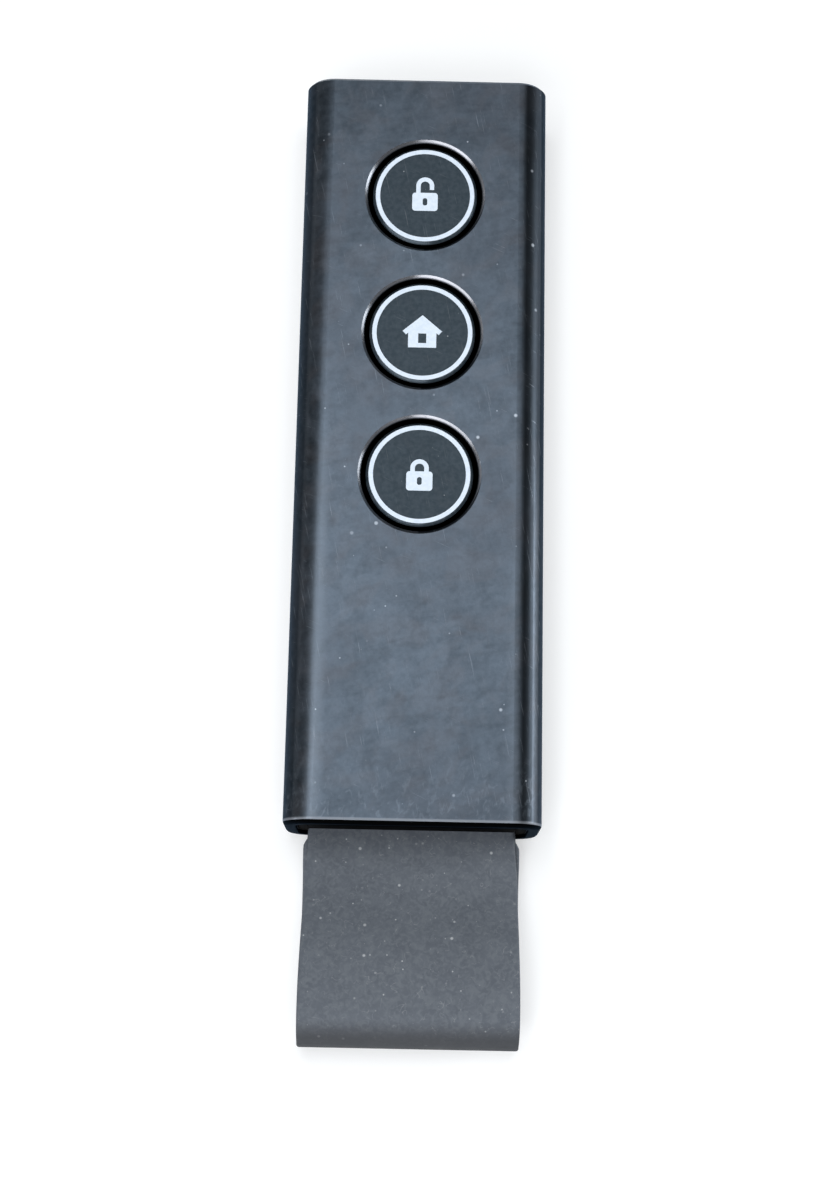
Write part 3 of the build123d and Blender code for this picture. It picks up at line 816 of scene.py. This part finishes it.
def strap_stations():
    """The strap's middle line as (y, z, half width, thickness), from one end of the tongue to the other."""
    low, high = corners("strap")
    table, top, tip, end = low[2], high[2], low[1], high[1]
    outer = (top - table) / 2
    inner_radius = outer - STRAP_THICKNESS / 2
    fold_y = tip + outer
    fold_z = table + outer
    neck_z = corners("core_tray")[0][2] + CLAMP_FLOOR
    layer = TONGUE_THICKNESS / 2
    rise_y = fold_y + STRAP_RISE_RUN
    drop_y = MOUTH_Y - STRAP_DROP_START
    front_z = neck_z + TONGUE_THICKNESS - layer / 2
    back_z = neck_z + layer / 2
    line = [(end, front_z), ((end + rise_y) / 2, front_z), (rise_y, front_z)]
    line += arc_s((rise_y, front_z), -STRAP_RISE_RUN, fold_z + inner_radius - front_z, RISE_STEPS)
    for i in range(1, FOLD_STEPS):
        angle = math.pi / 2 + math.pi * i / FOLD_STEPS
        line.append((fold_y + inner_radius * math.cos(angle), fold_z + inner_radius * math.sin(angle)))
    front_count = len(line) - FOLD_STEPS // 2
    table_z = table + STRAP_THICKNESS / 2
    drop_end = drop_y - STRAP_DROP_RUN
    line += [(fold_y + (drop_end - fold_y) * i / FLAT_STEPS, table_z) for i in range(FLAT_STEPS + 1)]
    line += arc_s((drop_end, table_z), STRAP_DROP_RUN, back_z - table_z, DROP_STEPS)
    line += [((end + drop_y) / 2, back_z), (end, back_z)]
    stations = []
    for i, (y, z) in enumerate(line):
        width = front_width(y) if i < front_count else back_width(y)
        outside = min(max((MOUTH_Y - y) / THICKEN_RUN, 0), 1)
        thickness = layer + (STRAP_THICKNESS - layer) * outside
        stations.append((y, z, width / 2, thickness))
    return stations


def between(value, start, end, low, high):
    """Smoothly from low to high while value goes from start to end."""
    share = min(max((value - start) / (end - start), 0), 1)
    return low + (high - low) * share * share * (3 - 2 * share)


def front_width(y):
    """Width of the front layer: the neck's in the mouth, wider towards the fold."""
    reach = MOUTH_Y - y
    if reach < MIDDLE_RUN:
        return between(reach, -NECK_RUN, MIDDLE_RUN, NECK_WIDTH, MIDDLE_WIDTH)
    return between(reach, MIDDLE_RUN, FRONT_RUN, MIDDLE_WIDTH, FRONT_WIDTH)


def back_width(y):
    """Width of the back layer, full soon after the mouth."""
    full = sleeve_high[0] - sleeve_low[0] - 2 * STRAP_SIDE_INSET
    return between(MOUTH_Y - y, 0.0, FLARE_RUN, NECK_WIDTH, full)


def strap_piece(material):
    """The loop as one band with rounded edges, swept along its middle line."""
    stations = strap_stations()
    mesh = bmesh.new()
    rings = []
    for i, (y, z, half, thick) in enumerate(stations):
        before, after = stations[max(i - 1, 0)], stations[min(i + 1, len(stations) - 1)]
        along = Vector((0, after[0] - before[0], after[1] - before[1])).normalized()
        normal = Vector((1, 0, 0)).cross(along)
        edge = min(STRAP_EDGE, thick / 2 - EDGE_FLAT)
        profile = band_profile(half, thick / 2, edge)
        ring = [mesh.verts.new((Vector((u, y, z)) + normal * v) * MM) for u, v in profile]
        rings.append(ring)
    for first, second in zip(rings, rings[1:]):
        for j in range(len(first)):
            k = (j + 1) % len(first)
            mesh.faces.new((first[j], first[k], second[k], second[j]))
    mesh.faces.new(rings[0])
    mesh.faces.new(list(reversed(rings[-1])))
    bmesh.ops.recalc_face_normals(mesh, faces=mesh.faces)
    data = bpy.data.meshes.new("strap_loop")
    mesh.to_mesh(data)
    mesh.free()
    for face in data.polygons:
        face.use_smooth = True
    strap = new_piece("strap_loop", data, material, "core")
    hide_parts("strap")


def band_profile(half, thin, edge):
    """A rounded flat section: (u, v) points round a band of half width and half thickness."""
    points = []
    span = half - edge
    centres = ((span, thin - edge, 0), (-span, thin - edge, 90),
               (-span, edge - thin, 180), (span, edge - thin, 270))
    for n, (cu, cv, start) in enumerate(centres):
        for i in range(ROUND_STEPS + 1):
            angle = math.radians(start + 90 * i / ROUND_STEPS)
            points.append((cu + edge * math.cos(angle), cv + edge * math.sin(angle)))
        if n % 2 == 0:
            side = 1 if n == 0 else -1
            for i in range(1, ACROSS_STEPS):
                points.append((side * span * (1 - 2 * i / ACROSS_STEPS), side * thin))
    return points


def flat_mesh(name, outlines, z_low, height):
    """Closed outlines in X and Y, holes included, raised into a thin solid mesh."""
    curve = bpy.data.curves.new(name, "CURVE")
    curve.dimensions = "2D"
    curve.fill_mode = "BOTH"
    curve.extrude = height * MM / 2
    for outline in outlines:
        spline = curve.splines.new("POLY")
        spline.points.add(len(outline) - 1)
        for point, (x, y) in zip(spline.points, outline):
            point.co = (x * MM, y * MM, 0, 1)
        spline.use_cyclic_u = True
    maker = bpy.data.objects.new(name + "_maker", curve)
    bpy.context.scene.collection.objects.link(maker)
    mesh = bpy.data.meshes.new_from_object(maker.evaluated_get(bpy.context.evaluated_depsgraph_get()))
    bpy.data.objects.remove(maker)
    bpy.data.curves.remove(curve)
    for vertex in mesh.vertices:
        vertex.co.z += (z_low + height / 2) * MM
    return mesh


def circle(radius, x=0.0, y=0.0, steps=96, start=0.0, sweep=360.0):
    """Points of a circle or an arc of it."""
    count = steps if sweep == 360.0 else steps + 1
    angles = [math.radians(start + sweep * i / steps) for i in range(count)]
    return [(x + radius * math.cos(a), y + radius * math.sin(a)) for a in angles]


def rounded_box(width, height, radius, y):
    """Outline of a box with round corners, its middle at a height y."""
    points = []
    for side, end, start in ((1, 1, 0), (-1, 1, 90), (-1, -1, 180), (1, -1, 270)):
        corner = (side * (width / 2 - radius), y + end * (height / 2 - radius))
        points += circle(radius, *corner, CORNER_STEPS, start, 90.0)
    return points


def shackle(high, is_open):
    """A padlock's bow: two legs and a half round, one leg short where it stands open."""
    outer, inner = BOW_WIDTH / 2, BOW_WIDTH / 2 - BOW_LINE
    short = high - BOW_LINE if is_open else BOW_LOW
    outside = [(-outer, BOW_LOW), *circle(outer, 0, high, BOW_STEPS, 180, -180.0), (outer, short)]
    return outside + [(inner, short), *circle(inner, 0, high, BOW_STEPS, 0, 180.0), (-inner, BOW_LOW)]


def padlock(is_open):
    """A padlock seen from the front."""
    body = rounded_box(LOCK_WIDTH, LOCK_HEIGHT, LOCK_CORNER, LOCK_MIDDLE)
    keyhole = rounded_box(KEYHOLE_WIDTH, KEYHOLE_HEIGHT, KEYHOLE_CORNER, LOCK_MIDDLE)
    bow = shackle(BOW_HIGH_OPEN if is_open else BOW_HIGH_SHUT, is_open)
    return [body, keyhole, bow]


def house():
    """A house seen from the front, with its door."""
    left = [(-x, y) for x, y in reversed(HOUSE_SIDE)]
    heights = (DOOR_LOW, DOOR_HIGH)
    door = [(-DOOR_SIDE, y) for y in heights] + [(DOOR_SIDE, y) for y in reversed(heights)]
    return [[HOUSE_RIDGE, *HOUSE_SIDE, *left], door]


def cap_marks(ink):
    """The ring and the figure printed on each cap."""
    figures = {"disarm": padlock(True), "stay": house(), "arm": padlock(False)}
    for name in BUTTONS:
        centre = middle_y(name + "_switch_base")
        top = corners(name + "_button_cap")[1][2]
        outlines = [circle(RING_OUTER), circle(RING_INNER)]
        for outline in figures[name]:
            outlines.append([(x * FIGURE_SCALE, y * FIGURE_SCALE) for x, y in outline])
        placed = [[(x, y + centre) for x, y in outline] for outline in outlines]
        mesh = flat_mesh(name + "_print", placed, top, PRINT_HEIGHT)
        new_piece(name + "_print", mesh, ink, name + "_button")


def studio():
    """Pale floor, soft light, and the camera at the photograph's place."""
    scene = bpy.context.scene
    scene.view_settings.view_transform = "Standard"
    world = bpy.data.worlds.new("studio_world")
    scene.world = world
    world.use_nodes = True
    background = world.node_tree.nodes["Background"]
    background.inputs["Color"].default_value = WORLD_COLOUR
    background.inputs["Strength"].default_value = WORLD_LEVEL
    scene.collection.objects.link(pale_floor())
    for lamp in LAMPS:
        scene.collection.objects.link(soft_lamp(*lamp))
    camera = bpy.data.objects.new("camera", bpy.data.cameras.new("camera"))
    camera.data.sensor_width = SENSOR
    camera.data.lens = FOCAL_PIXELS * SENSOR / IMAGE_HEIGHT
    camera.data.clip_start = CLIP_START
    camera.location = [c * MM for c in CAMERA_PLACE]
    camera.rotation_mode = "ZYX"
    camera.rotation_euler = Euler([math.radians(a) for a in CAMERA_TURN], "ZYX")
    scene.collection.objects.link(camera)
    scene.camera = camera


def pale_floor():
    """A floor with a low wall far off: it keeps shadows, and looks white to the camera and in reflections."""
    mesh = bpy.data.meshes.new("floor")
    edge = FLOOR_SIZE / 2
    foot = [(-edge, -edge, 0), (edge, -edge, 0), (edge, edge, 0), (-edge, edge, 0)]
    head = [(x, y, WALL_HEIGHT) for x, y, _ in foot]
    sides = [(i, (i + 1) % 4, (i + 1) % 4 + 4, i + 4) for i in range(4)]
    mesh.from_pydata(foot + head, [], [(0, 1, 2, 3)] + sides)
    floor = bpy.data.objects.new("floor", mesh)
    floor.location.z = -FLOOR_DROP
    s = Shader("floor_pale")
    path = s.tree.nodes.new("ShaderNodeLightPath").outputs
    seen = s.most(path["Is Camera Ray"], path["Is Glossy Ray"], path["Is Transmission Ray"])
    x, y, z = s.axes()
    glow = s.times(seen, s.step(s.reach(x, y), GLOW_START, GLOW_FULL, FLOOR_GLOW, 1.0))
    colour = s.mix(s.noise(scale=0.02, detail=3.0), FLOOR_DARK, FLOOR_PALE)
    s.finish(Base_Color=colour, Roughness=0.9, Emission_Color=(1, 1, 1, 1), Emission_Strength=glow)
    mesh.materials.append(s.material)
    return floor


def soft_lamp(name, place, width, height, radiance, colour):
    """A rectangular soft lamp that looks at the object, as bright as its radiance says."""
    light = bpy.data.lights.new(name, "AREA")
    light.shape = "RECTANGLE"
    light.size, light.size_y = width, height
    light.energy = radiance * math.pi * width * height
    light.color = colour
    thing = bpy.data.objects.new(name, light)
    thing.location = place
    aim = Vector(LAMP_TARGET) - Vector(place)
    thing.rotation_euler = aim.to_track_quat("-Z", "Y").to_euler()
    return thing


finishes = dress_frame()
strap_piece(finishes["strap_silicone"])
cap_marks(print_white())
studio()
